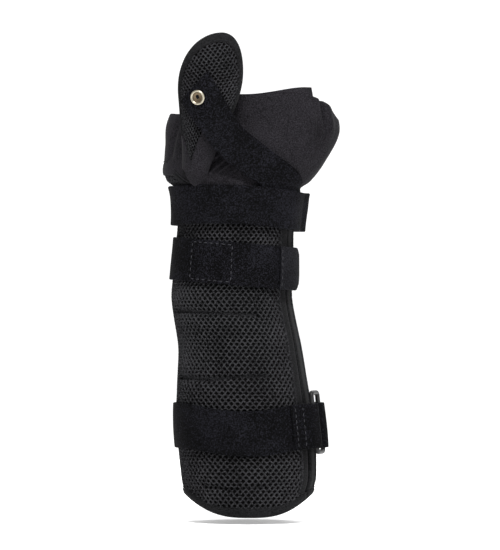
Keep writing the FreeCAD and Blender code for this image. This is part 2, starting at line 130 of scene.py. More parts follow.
def gutter(angle, height, offset=0.0):
    angle, height, offset = np.broadcast_arrays(*(np.asarray(x, float) for x in (angle, height, offset)))
    turn = np.radians(angle)
    x = along(THUMB, height, 1) + (along(THUMB, height, 2) + offset) * np.sin(turn)
    y = along(THUMB, height, 3) - (along(THUMB, height, 4) + offset) * np.cos(turn)
    return np.stack([x, y, height], -1)


def hem(angle):
    return HEM_RISE * np.abs(np.sin(np.radians(angle))) ** 3.1


def wrist_line(angle):
    from_left = np.abs((np.asarray(angle, float) - LEFT_SEAM + 180) % 360 - 180)
    return WRIST_SEAM + 24 * (1 - ease(from_left, 25, 66))


def top_level(angle):
    turn = np.radians(angle)
    return TOP_LEVEL - TOP_TILT * np.sin(turn) + TOP_ARCH * np.maximum(np.cos(turn), 0) ** 2


def middle_level(angle):
    return MIDDLE_LEVEL - MIDDLE_TILT * np.sin(np.radians(angle))


def bottom_level(angle):
    turn = np.minimum(np.abs((np.asarray(angle, float) + 180) % 360 - 180) * BOTTOM_DIP_TURN, 90)
    return RING_LEVEL - BOTTOM_DIP * np.cos(np.radians(turn)) ** 2


def ripple(a, b, seed=0.0):
    """Gentle unevenness, about -1 to 1, over two coordinates in millimetres."""
    return (np.sin(a / 11 + seed) * np.cos(b / 17 + 2 * seed) + 0.6 * np.sin(a / 5.3 + b / 9.1 + 3 * seed)
            + 0.3 * np.cos(a / 3.1 - b / 4.7 + seed)) / 1.9


# ---------------------------------------------------------------- making meshes

def new_object(name, points, faces, materials, indices=None, smooth=True, uvs=None):
    mesh = bpy.data.meshes.new(name)
    mesh.from_pydata((np.asarray(points) * MM).tolist(), [], faces)
    for material in materials:
        mesh.materials.append(material)
    if indices is not None:
        mesh.polygons.foreach_set("material_index", indices)
    mesh.polygons.foreach_set("use_smooth", [smooth] * len(mesh.polygons))
    if uvs is not None:
        layer = mesh.uv_layers.new(name="Cloth")
        corner = np.empty(len(mesh.loops), dtype=np.int32)
        mesh.loops.foreach_get("vertex_index", corner)
        layer.data.foreach_set("uv", (np.asarray(uvs)[corner] * MM * 10).ravel())
    mesh.validate()
    mesh.update()
    obj = bpy.data.objects.new(name, mesh)
    bpy.context.scene.collection.objects.link(obj)
    return obj


def normals_of(grid):
    across = np.gradient(grid, axis=0)
    up = np.gradient(grid, axis=1)
    normal = np.cross(across, up)
    return normal / np.maximum(np.linalg.norm(normal, axis=-1, keepdims=True), 1e-9)


def lengths(grid, axis):
    """Distance run along one axis of a grid of points."""
    moved = np.linalg.norm(np.diff(grid, axis=axis), axis=-1)
    return np.concatenate([np.zeros_like(moved.take([0], axis=axis)), np.cumsum(moved, axis=axis)], axis=axis)


def fine(start, end, step, scale=1.0):
    """Positions from start to end with close steps at both ends; scale is mm per unit."""
    size = abs(end - start) * scale
    rim = [d for d in (0, 0.12, 0.35, 0.7, 1.2) if d < size / 3]
    count = max(2, int((size - 2 * rim[-1]) / step) + 1)
    middle = np.linspace(rim[-1], size - rim[-1], count + 1)[1:-1]
    positions = np.concatenate([rim, middle, size - np.array(rim[::-1])])
    return start + (end - start) * positions / size


def slab(name, middle, thickness, materials, edge=0.8, lift=None):
    """Closed cloth with rounded edges round a grid of points on its middle surface."""
    normal = normals_of(middle)
    a = lengths(middle, 0)
    b = lengths(middle, 1)
    border = np.minimum(np.minimum(a, a[-1:] - a), np.minimum(b, b[:, -1:] - b))
    half = thickness / 2 * np.sqrt(1 - (1 - np.clip(border / edge, 0.02, 1)) ** 2)
    if lift is not None:
        middle = middle + normal * lift(a, b)[..., None]
    outer = middle + normal * half[..., None]
    inner = middle - normal * half[..., None]
    m, n = middle.shape[:2]
    order = np.arange(m * n).reshape(m, n)
    faces = []
    for i in range(m - 1):
        for j in range(n - 1):
            quad = [order[i, j], order[i + 1, j], order[i + 1, j + 1], order[i, j + 1]]
            faces.append([int(q) for q in quad])
            faces.append([int(q) + m * n for q in reversed(quad)])
    loop = list(order[:, 0]) + list(order[-1, 1:])
    loop += list(order[-2::-1, -1]) + list(order[0, -2:0:-1])
    for here, there in zip(loop, loop[1:] + loop[:1]):
        faces.append([int(there), int(here), int(here) + m * n, int(there) + m * n])
    points = np.concatenate([outer.reshape(-1, 3), inner.reshape(-1, 3)])
    flat = np.stack([a, b], -1).reshape(-1, 2)
    return new_object(name, points, faces, materials, uvs=np.concatenate([flat, flat]))


def tube(name, path, sides, normals, profile, material, closed=False):
    """Bar swept along a path. profile is (out, up) pairs in mm, laid along each side and normal."""
    profile = np.asarray(profile, float)
    path = np.asarray(path, float)
    rings = path[:, None] + sides[:, None] * profile[None, :, :1] + normals[:, None] * profile[None, :, 1:]
    m, n = len(path), len(profile)
    faces = []
    for i in range(m if closed else m - 1):
        for j in range(n):
            k = (i + 1) % m
            q = (j + 1) % n
            faces.append([i * n + j, k * n + j, k * n + q, i * n + q])
    if not closed:
        faces.append(list(range(n)))
        faces.append([(m - 1) * n + j for j in reversed(range(n))])
    run = np.concatenate([[0], np.cumsum(np.linalg.norm(np.diff(path, axis=0), axis=1))])
    round_it = np.concatenate([[0], np.cumsum(np.linalg.norm(np.diff(profile, axis=0), axis=1))])
    uvs = np.stack(np.broadcast_arrays(run[:, None], round_it[None]), -1).reshape(-1, 2)
    return new_object(name, rings.reshape(-1, 3), faces, [material], uvs=uvs)


def unit(vectors):
    vectors = np.asarray(vectors, float)
    return vectors / np.maximum(np.linalg.norm(vectors, axis=-1, keepdims=True), 1e-9)


def tape_profile(width, thick, inner=0.0, corner=4):
    """Rounded section of a folded tape: inner edge at 0, fold at width; the face is pulled in by its seam."""
    half = thick / 2
    points = []
    for k in range(corner * 2 + 1):
        turn = -math.pi / 2 + math.pi * k / (corner * 2)
        points.append((width - half + half * math.cos(turn), half * math.sin(turn) + inner))
    seam = 1.1
    dip = [(seam + 0.8, half * 1.02), (seam, half * 0.72), (seam - 0.7, half * 0.9), (0, half * 0.55)]
    points += [(out, up + inner) for out, up in dip]
    points += [(out, -up + inner) for out, up in reversed(dip)]
    return points


def stitches(name, path, normals, material, length=2.4, space=1.2, radius=0.28, sink=0.0):
    """Row of thread stitches lying along a path."""
    path = np.asarray(path, float)
    run = np.concatenate([[0], np.cumsum(np.linalg.norm(np.diff(path, axis=0), axis=1))])
    count = max(1, int(run[-1] / (length + space)))
    pitch = run[-1] / count

    def at(distance, table):
        return np.array([np.interp(distance, run, table[:, axis]) for axis in range(3)])

    sides = 6
    bows = [(-1.0, 0.35, -0.6), (-0.7, 0.85, 0.1), (0.0, 1.0, 0.5), (0.7, 0.85, 0.1), (1.0, 0.35, -0.6)]
    points = []
    faces = []
    for index in range(count):
        centre = (index + 0.5) * pitch
        middle = at(centre, path)
        ahead = unit(at(centre + 0.1, path) - at(centre - 0.1, path))
        up = unit(at(centre, normals))
        side = unit(np.cross(ahead, up))
        base = len(points)
        for where, size, rise in bows:
            hub = middle + ahead * where * length / 2 + up * (rise * radius - sink)
            for k in range(sides):
                turn = 2 * math.pi * k / sides
                points.append(hub + (side * math.cos(turn) + up * math.sin(turn)) * radius * size)
        for ring in range(len(bows) - 1):
            for k in range(sides):
                a = base + ring * sides + k
                b = base + ring * sides + (k + 1) % sides
                faces.append([a, b, b + sides, a + sides])
        faces.append([base + k for k in reversed(range(sides))])
        faces.append([base + (len(bows) - 1) * sides + k for k in range(sides)])
    return new_object(name, points, faces, [material])


def spacer_mesh(name, place, columns, rows, depth, materials, keep=None, lift=None, hole=0.74):
    """Knitted spacer mesh: a net of crossing yarns round six-sided cells, a plain back, closed all round.
    place(u, v) gives points on the face for u and v from 0 to 1. Cells that an edge cuts have no hole."""
    waist = 0.136           # half the height of a cell's upright sides, in rows
    spots = []
    known = {}

    def vertex(column, row, sign):
        key = (column, row, sign)
        if key not in known:
            known[key] = len(spots)
            u = min(max(column, 0), 2 * columns) / (2 * columns)
            v = min(max(row + sign * waist, 0), rows) / rows
            spots.append((u, v, 0.0))
        return known[key]

    def between(a, b):
        key = (min(a, b), max(a, b))
        if key not in known:
            known[key] = len(spots)
            spots.append(((spots[a][0] + spots[b][0]) / 2, (spots[a][1] + spots[b][1]) / 2, 0.12))
        return known[key]

    faces = []
    kinds = []
    outlines = []
    for row in range(rows + 1):
        for column in range(row % 2, 2 * columns + 1, 2):
            centre = (column / (2 * columns), row / rows)
            if keep is not None and not keep(*centre):
                continue
            corners = [vertex(column - 1, row, -1), vertex(column, row - 1, 1), vertex(column + 1, row, -1),
                       vertex(column + 1, row, 1), vertex(column, row + 1, -1), vertex(column - 1, row, 1)]
            outline = []
            for here, there in zip(corners, corners[1:] + corners[:1]):
                outline += [here, between(here, there)]
            outlines.append(outline)
            if column in (0, 2 * columns) or row in (0, rows):
                faces.append(outline)
                kinds.append(0)
                continue
            rings = []
            for scale, sink in ((hole, 0.5), (hole * 0.86, depth)):
                ring = []
                for index, corner in enumerate(outline):
                    pull = scale * (0.93 if index % 2 == 0 else 1.04)
                    ring.append(len(spots))
                    spots.append((centre[0] + (spots[corner][0] - centre[0]) * pull,
                                  centre[1] + (spots[corner][1] - centre[1]) * pull, sink))
                rings.append(ring)
            for outer, inner in ((outline, rings[0]), (rings[0], rings[1])):
                for k in range(len(outline)):
                    q = (k + 1) % len(outline)
                    faces.append([outer[k], outer[q], inner[q], inner[k]])
                    kinds.append(0)
            # The floor of each hole takes the second material, the painted hole shade.
            faces.append(rings[1])
            kinds.append(1)

    spots = np.array(spots)
    u, v, sink = spots.T
    step = 1e-3
    face = place(u, v)
    normal = unit(np.cross(place(u + step, v) - place(u - step, v), place(u, v + step) - place(u, v - step)))
    rise = np.zeros_like(u) if lift is None else lift(u, v)
    points = face + normal * (rise - sink)[:, None]

    back_of = {}
    back_points = []
    uses = {}
    for outline in outlines:
        for corner in outline:
            if corner not in back_of:
                back_of[corner] = len(points) + len(back_points)
                back_points.append(face[corner] - normal[corner] * THICK[name])
        faces.append([back_of[c] for c in reversed(outline)])
        kinds.append(0)
        for here, there in zip(outline, outline[1:] + outline[:1]):
            uses[(here, there)] = uses.get((here, there), 0) + 1
    for here, there in uses:
        if (there, here) not in uses:
            faces.append([there, here, back_of[here], back_of[there]])
            kinds.append(0)
    return new_object(name, np.concatenate([points, back_points]), faces, materials, indices=kinds)


THICK = {"forearm_mesh_front": 3.0, "forearm_mesh_back": 3.0, "thumb_mesh": 2.6}


# ---------------------------------------------------------------- materials

def tree_of(name):
    material = bpy.data.materials.new(name)
    material.use_nodes = True
    nodes = material.node_tree.nodes
    return material, nodes, material.node_tree.links, nodes["Principled BSDF"]


def noise_node(nodes, links, vector, scale, detail=3.0):
    noise = nodes.new("ShaderNodeTexNoise")
    noise.inputs["Scale"].default_value = scale
    noise.inputs["Detail"].default_value = detail
    links.new(vector, noise.inputs["Vector"])
    return noise


def ramp_node(nodes, links, value, stops):
    ramp = nodes.new("ShaderNodeValToRGB")
    elements = ramp.color_ramp.elements
    for index, (position, color) in enumerate(stops):
        element = elements[index] if index < 2 else elements.new(position)
        element.position = position
        element.color = (*color, 1)
    links.new(value, ramp.inputs["Fac"])
    return ramp


def cloth_material(name, dark, light, grain, patch=30.0, relief=0.25, rough=0.85, sheen=0.2,
                   spread=(0.35, 0.68)):
    """Matte cloth: fine grain between two tones, slow uneven wear, and a raised surface."""
    material, nodes, links, shader = tree_of(name)
    where = nodes.new("ShaderNodeTexCoord").outputs["Object"]
    fine_grain = noise_node(nodes, links, where, grain, 2.0)
    slow = noise_node(nodes, links, where, patch, 4.0)
    mix = nodes.new("ShaderNodeMath")
    mix.operation = "MULTIPLY_ADD"
    links.new(slow.outputs["Fac"], mix.inputs[0])
    mix.inputs[1].default_value = 0.35
    links.new(fine_grain.outputs["Fac"], mix.inputs[2])
    shift = nodes.new("ShaderNodeMath")
    shift.operation = "SUBTRACT"
    links.new(mix.outputs[0], shift.inputs[0])
    shift.inputs[1].default_value = 0.17
    ramp = ramp_node(nodes, links, shift.outputs[0], [(spread[0], dark), (spread[1], light)])
    links.new(ramp.outputs["Color"], shader.inputs["Base Color"])
    raise_it = nodes.new("ShaderNodeBump")
    raise_it.inputs["Strength"].default_value = relief
    raise_it.inputs["Distance"].default_value = 0.0006
    links.new(fine_grain.outputs["Fac"], raise_it.inputs["Height"])
    links.new(raise_it.outputs["Normal"], shader.inputs["Normal"])
    shader.inputs["Roughness"].default_value = rough
    shader.inputs["Specular IOR Level"].default_value = 0.06
    shader.inputs["Sheen Weight"].default_value = sheen
    shader.inputs["Sheen Roughness"].default_value = 0.5
    return material


def metal_material(name, color, rough, marks):
    material, nodes, links, shader = tree_of(name)
    where = nodes.new("ShaderNodeTexCoord").outputs["Object"]
    worn = noise_node(nodes, links, where, marks, 4.0)
    darker = tuple(c * 0.75 for c in color)
    ramp = ramp_node(nodes, links, worn.outputs["Fac"], [(0.35, darker), (0.6, color)])
    links.new(ramp.outputs["Color"], shader.inputs["Base Color"])
    spread = nodes.new("ShaderNodeMapRange")
    spread.inputs["To Min"].default_value = rough * 0.7
    spread.inputs["To Max"].default_value = rough * 1.5
    links.new(worn.outputs["Fac"], spread.inputs["Value"])
    links.new(spread.outputs["Result"], shader.inputs["Roughness"])
    shader.inputs["Metallic"].default_value = 1.0
    return material


def plastic_material(name, color, rough):
    material, nodes, links, shader = tree_of(name)
    where = nodes.new("ShaderNodeTexCoord").outputs["Object"]
    grain = noise_node(nodes, links, where, 900, 3.0)
    scuff = noise_node(nodes, links, where, 120, 5.0)
    lighter = tuple(min(1, c * 2.2 + 0.01) for c in color)
    ramp = ramp_node(nodes, links, scuff.outputs["Fac"], [(0.5, color), (0.85, lighter)])
    links.new(ramp.outputs["Color"], shader.inputs["Base Color"])
    raise_it = nodes.new("ShaderNodeBump")
    raise_it.inputs["Strength"].default_value = 0.08
    raise_it.inputs["Distance"].default_value = 0.0003
    links.new(grain.outputs["Fac"], raise_it.inputs["Height"])
    links.new(raise_it.outputs["Normal"], shader.inputs["Normal"])
    shader.inputs["Roughness"].default_value = rough
    shader.inputs["Specular IOR Level"].default_value = 0.3
    return material


YARN = cloth_material("mesh_yarn", (0.003, 0.003, 0.0032), (0.036, 0.036, 0.039), 1100,
                      relief=0.4, sheen=0.0)
# Hole floors of the spacer mesh: near black, a painted shade that stands in for the shadow deep in each hole.
HOLE_SHADE = cloth_material("mesh_hole_painted_shade", (0.0004, 0.0004, 0.0004), (0.0012, 0.0012, 0.0012), 900,
                        relief=0.1, sheen=0.0)
KNIT = cloth_material("sleeve_knit", (0.003, 0.0028, 0.0034), (0.019, 0.0175, 0.021), 1500,
                      relief=0.3, sheen=0.02)
TAPE = cloth_material("binding_knit", (0.002, 0.002, 0.0022), (0.0125, 0.0125, 0.0135), 1400,
                      relief=0.35, sheen=0.02)
PILE = cloth_material("loop_pile", (0.0001, 0.0001, 0.0002), (0.0088, 0.0088, 0.0120), 1200,
                      relief=0.8, sheen=0.0, spread=(0.47, 0.66))
HOOKS = cloth_material("hook_face", (0.002, 0.002, 0.0024), (0.0125, 0.0125, 0.0155), 1200,
                       relief=0.7, sheen=0.0)
LINER = cloth_material("brushed_lining", (0.008, 0.008, 0.009), (0.018, 0.018, 0.020), 1700,
                       relief=0.3, sheen=0.02)
THREAD = cloth_material("sewing_thread", (0.020, 0.020, 0.022), (0.055, 0.055, 0.062), 2500, sheen=0.0)
DARK_THREAD = cloth_material("dark_thread", (0.006, 0.006, 0.0065), (0.022, 0.022, 0.025), 2500, sheen=0.0)
NICKEL = metal_material("nickel", (0.46, 0.42, 0.33), 0.3, 500)
BRASS = metal_material("aged_brass", (0.15, 0.115, 0.075), 0.38, 700)
ALUMINIUM = metal_material("brushed_aluminium", (0.75, 0.75, 0.77), 0.3, 300)
RING_PLASTIC = plastic_material("moulded_ring", (0.004, 0.004, 0.0045), 0.42)


# ---------------------------------------------------------------- helpers for pieces

def put(obj, body, slot, *nodes):
    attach(obj, body)
    if nodes:
        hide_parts(*nodes)
    return obj


def body_sheet(angles, low, high, offset, step=2.2):
    """Grid on the body between two angles and two height functions."""
    u = fine(angles[0], angles[1], step, 0.7)[:, None]
    v = fine(0, 1, step, 80)[None]
    return wall(u, low(u) + v * (high(u) - low(u)), offset)


def always(value):
    return lambda angle: value + 0 * np.asarray(angle, float)


# ---------------------------------------------------------------- forearm shell

def quilting(angle, height):
    """Sewn grooves across the mesh, and the swelling of the cloth beside them."""
    sweep = ease(angle, -80, 40)
    upper_line = 127.6 - 2.4 * sweep
    lower_line = 86.4 + 1.4 * sweep - 1.6 * bump(angle, -30, 30)
    mouth_line = 19.0 - 1.5 * bump(angle, -15, 20)
    depth = 0
    grooves = ((upper_line, -75, 22, 2.8), (lower_line, -75, 22, 2.8), (mouth_line, -42, 14, 2.0))
    for line, start, end, size in grooves:
        reach = ease(angle, start - 4, start) * (1 - ease(angle, end, end + 4))
        swell = 0.9 * bump(height, line + 7, 6) + 0.9 * bump(height, line - 7, 6)
        depth = depth + reach * (swell - size * bump(height, line, 2.0))
    return depth


MESH_LOW, MESH_HIGH = 1.0, 213.5


def forearm_mesh():
    front = (-89.7, FRONT_EDGE - EDGE_TAPE + 3)
    back = (BACK_EDGE + EDGE_TAPE - 3, 269.7)

    def panel(name, span, columns, rows, lift, node):
        def where(u, v):
            angle = span[0] + u * (span[1] - span[0])
            return angle, MESH_LOW + np.asarray(v, float) * (MESH_HIGH - MESH_LOW)

        def place(u, v):
            angle, height = where(u, v)
            return wall(angle, height)

        def rise(u, v):
            angle, height = where(u, v)
            return lift(angle, height) + 0.35 * ripple(angle * 0.7, height, 1.0) + thumb_root(angle, height)

        def keep(u, v):
            angle, height = where(u, v)
            return hem(angle) + 3.6 < height < wrist_line(angle) - 0.5

        obj = spacer_mesh(name, place, columns, rows, 1.2, [YARN, HOLE_SHADE], keep=keep, lift=rise)
        put(obj, "shell", "spacer_mesh", node)

    panel("forearm_mesh_front", front, 27, 98, quilting, "front_mesh_panel")
    panel("forearm_mesh_back", back, 32, 88, lambda angle, height: 0 * angle, "back_mesh_panel")


def forearm_linings():
    for name, span in (("front_lining", (-89.7, 50)), ("back_lining", (80, 269.7))):
        grid = body_sheet(span, lambda a: hem(a) + HEM_WIDTH - 1, wrist_line, -3.75, 4.0)
        obj = slab(name + "_cloth", grid, 0.8, [LINER], lift=lambda a, b: 0.12 * ripple(a, b, 2.0))
        put(obj, "shell", "lining_cloth", name)
    grid = body_sheet((-97, -83), always(23.0), always(WRIST_SEAM), -4.8, 3.0)
    put(slab("left_seam_cover", grid, 0.6, [TAPE]), "shell", "lining_cloth", "left_seam_tape")


def edge_bindings():
    """Folded tapes along the hem and up both sides of the opening."""
    angles = np.linspace(FRONT_EDGE, BACK_EDGE - 360, 150)
    thick = 4.9
    path = wall(angles, hem(angles) + HEM_WIDTH, -1.9)
    down = wall(angles, hem(angles), -1.9)
    sides = unit(down - path)
    ahead = unit(np.gradient(path, axis=0))
    normals = unit(np.cross(sides, ahead))
    obj = tube("hem_tape", path, sides, normals, tape_profile(HEM_WIDTH, thick), TAPE)
    put(obj, "shell", "binding_tape", "hem_binding")
    seam = wall(angles, hem(angles) + HEM_WIDTH - 1.1, 0.0)
    put(stitches("hem_stitches", seam, normals, DARK_THREAD, 2.0, 1.3, 0.2), "shell", "binding_tape")

    tapes = (("front_edge_tape", FRONT_EDGE - EDGE_TAPE, FRONT_EDGE, "front_edge_binding"),
             ("back_edge_tape", BACK_EDGE + EDGE_TAPE, BACK_EDGE, "back_edge_binding"))
    for name, first, last, node in tapes:
        heights = np.linspace(hem(last) + HEM_WIDTH - 1.5, WRIST_SEAM, 60)
        path = wall(first, heights, -1.9)
        fold = wall(last, heights, -1.9)
        sides = unit(fold - path)
        ahead = unit(np.gradient(path, axis=0))
        normals = unit(np.cross(ahead, sides))
        if first > last:
            normals = -normals
        width = float(np.linalg.norm(fold - path, axis=1).mean())
        profile = np.array(tape_profile(width, thick))
        sag = 1.0 * np.sin(np.pi * np.clip(profile[:, 0] / width, 0, 1))
        profile[:, 1] += sag
        obj = tube(name, path, sides, normals, profile, TAPE)
        put(obj, "shell", "binding_tape", node)
        inset = 1.5 if first < last else -1.5
        seam = wall(first + inset, heights, 0.42)
        put(stitches(name + "_stitches", seam, normals, DARK_THREAD, 2.0, 1.3, 0.2), "shell", "binding_tape")


def stay_pockets():
    """Cloth channels inside the shell that hold the two straight stays."""
    for name, side in (("palmar", -1), ("dorsal", 1)):
        heights = fine(20.0, 182.0, 4.0)[None]
        across = fine(-9.0, 9.0, 2.0)[:, None]
        depth = HEM_HALF_DEPTH - 7.2 - DEPTH_TAPER * heights
        fall = 44 * (1 - np.cos(across / 44))
        edge = 1.9 * ease(np.abs(across), 7.6, 9.0)
        x = -1.5 - 0.047 * (heights - 20) - side * -1 * across
        y = side * (depth - fall + edge)
        grid = np.stack(np.broadcast_arrays(x, y, heights), -1)
        obj = slab(name + "_pocket_cloth", grid, 0.6, [LINER], edge=0.4)
        put(obj, "shell", "lining_cloth", name + "_stay_pocket")


# ---------------------------------------------------------------- hand sleeve and thumb base

def front_rim(angle):
    return 262 + 4.5 * ease(angle, -10, 40) - 14 * (1 - ease(angle, -75, -20))


def back_rim(angle):
    return 262 - 15 * np.abs(np.sin(np.radians(angle))) ** 8


def thumb_root(angle, height):
    """The cloth swells under the panel over the base of the thumb, where the body widens above the strap."""
    from_left = np.abs((np.asarray(angle, float) - LEFT_SEAM + 180) % 360 - 180)
    near = 1 - ease(from_left, 26, 42)
    return 1.9 * near * ease(height, 206.5, 216) * (1 - ease(height, 218, 223))


# Each wrinkle's foot (angle and height), its length and its size.
WRINKLES = ((-29.4, 216.4, 10, 1.5), (-23.2, 213.9, 10, 1.2), (-19, 211.4, 9, 1.3), (-11.5, 210, 7, 1.0))


def sleeve_folds(angle, height):
    """Wrinkles that fan up from the wrist beside the thumb, and a little unevenness elsewhere."""
    rise = 0.5 * ripple(angle * 0.8, height * 0.7, 0.4)
    for foot_angle, foot, reach, size in WRINKLES:
        centre = foot_angle + (height - foot)
        fold = bump(angle, centre, 1.3) - 0.8 * bump(angle, centre + 2.5, 1.2)
        fade = 1 - ease(height, foot + reach - 3, foot + reach + 3)
        rise = rise + size * fold * ease(height, foot - 2, foot + 1) * fade
    puff = 2.0 * bump(angle, -19, 12) * bump(height, 215, 8)
    gathered_line = 215 - 0.235 * (angle + 28)
    gathered = 1.2 * (1 - ease(height, gathered_line - 1.2, gathered_line)) * (1 - ease(angle, 0, 12))
    return rise + puff + gathered + thumb_root(angle, height)


def hand_sleeve():
    def sleeve(name, span, rim, node, folds):
        u = fine(span[0], span[1], 0.8, 0.8)[:, None]
        v = fine(0, 1, 0.8, 72)[None]
        foot = wrist_line(u) - 1.5
        height = foot + v * (rim(u) - foot)
        grid = wall(u, height, -SLEEVE_HALF)
        obj = slab(name, grid, 2 * SLEEVE_HALF, [KNIT], edge=0.75, lift=lambda a, b: folds(u, height))
        put(obj, "shell", "smooth_fabric", node)
        0.001 * float(lengths(grid, 0)[-1].mean())

    def back_folds(angle, height):
        crease = -3.2 * bump(angle, 55.5, 2.2) * ease(height, 232, 250)
        swell = 1.3 * bump(angle, 64, 7) * ease(height, 225, 245)
        return 0.4 * ripple(angle * 0.8, height * 0.7, 1.7) + crease + swell + thumb_root(angle, height)

    sleeve("sleeve_palm", (-89.7, FRONT_SLEEVE_EDGE + 1), front_rim, "hand_sleeve_palm", sleeve_folds)
    sleeve("sleeve_back", (FRONT_SLEEVE_EDGE - 1, 269.7), back_rim, "hand_sleeve_back", back_folds)


SLEEVE_HALF = 0.75


def base_low(angle):
    return 203 + 16 * ease(-np.asarray(angle, float), 25, 80)


def base_high(angle):
    return 250 - 24 * ease(angle, -62, -30)


def thumb_base():
    u = fine(-118, -27, 1.5, 0.8)[:, None]
    v = fine(0, 1, 1.5, 40)[None]
    height = base_low(u) + v * (base_high(u) - base_low(u))
    grid = wall(u, height, LAY + WEBBING / 2)

    def folds(a, b):
        hollow = -1.6 * bump(u, -68 + 0.25 * (height - 225), 5) * ease(height, 212, 226)
        stand = 2.0 * ease(height, 230, 246) * (1 - ease(u, -85, -62))
        return hollow + stand + 0.4 * ripple(u * 0.8, height, 0.9)

    obj = slab("thumb_base_cloth", grid, WEBBING, [KNIT], edge=0.9, lift=folds)
    put(obj, "shell", "smooth_fabric", "thumb_base_panel")

    angles = np.linspace(-118, -27, 70)
    lines = (("thumb_base_cord", 1.45, 0.95, "thumb_base_piping"), ("thumb_base_rib", -1.6, 0.5, None))
    for name, drop, size, node in lines:
        path = wall(angles, base_low(angles) - drop, LAY + 0.95 if node else LAY + WEBBING)
        ahead = unit(np.gradient(path, axis=0))
        heights = base_low(angles) - drop
        normals = unit(wall(angles, heights, 3.0) - wall(angles, heights, 0.0))
        sides = unit(np.cross(ahead, normals))
        circle = [(size * math.cos(t), size * math.sin(t)) for t in np.linspace(0, 2 * math.pi, 9)[:-1]]
        obj = tube(name, path, sides, normals, circle, TAPE)
        put(obj, "shell", "binding_tape", *([node] if node else []))


# ---------------------------------------------------------------- thumb gutter

THUMB_TOP, THUMB_CORNER, THUMB_FOOT, THUMB_APEX = 299.0, 250.0, 212.0, 15.0
THUMB_RIGHT, THUMB_LEFT, THUMB_TAPE, THUMB_TAPE_ANGLE = 78.0, -100.0, 4.0, 11.5
TAPE_SHOWN = 6.0
FACING_FOOT = 203.5


def gutter_edge(turn, inset):
    swing = np.radians(turn)
    right = np.asarray(turn, float) >= 0
    half = np.where(right, THUMB_RIGHT - THUMB_APEX, THUMB_APEX - THUMB_LEFT)
    half = half - inset * THUMB_TAPE_ANGLE / THUMB_TAPE
    power = np.where(right, 0.75, 1.4)
    rise = (THUMB_TOP - THUMB_CORNER - inset) * np.maximum(np.cos(swing), 0.0) ** power
    return THUMB_APEX + half * np.sin(swing), THUMB_CORNER + rise


def gutter_outline(inset, count=140):
    """Angles and heights up the right side, over the arch and down the left side."""
    turns = np.linspace(90, -90, count)
    angle, height = gutter_edge(turns, inset)
    side = np.linspace(THUMB_FOOT, THUMB_CORNER, 26)[:-1]
    angles = np.concatenate([np.full(25, angle[0]), angle, np.full(25, angle[-1])])
    heights = np.concatenate([side, height, side[::-1]])
    return angles, heights


def facing_top(angle):
    """Top of the smooth facing at the foot of the gutter: a V that leaves a point of mesh."""
    left = 236 - 15.5 * ease(angle, -75, -23) ** 0.8
    right = 220.5 + 21 * np.clip((np.asarray(angle, float) + 23) / 24, 0, 1)
    return np.where(np.asarray(angle, float) < -23, left, right)


MESH_TURN = math.radians(9)
GUTTER_RUN = 0.31       # millimetres round the gutter for one degree


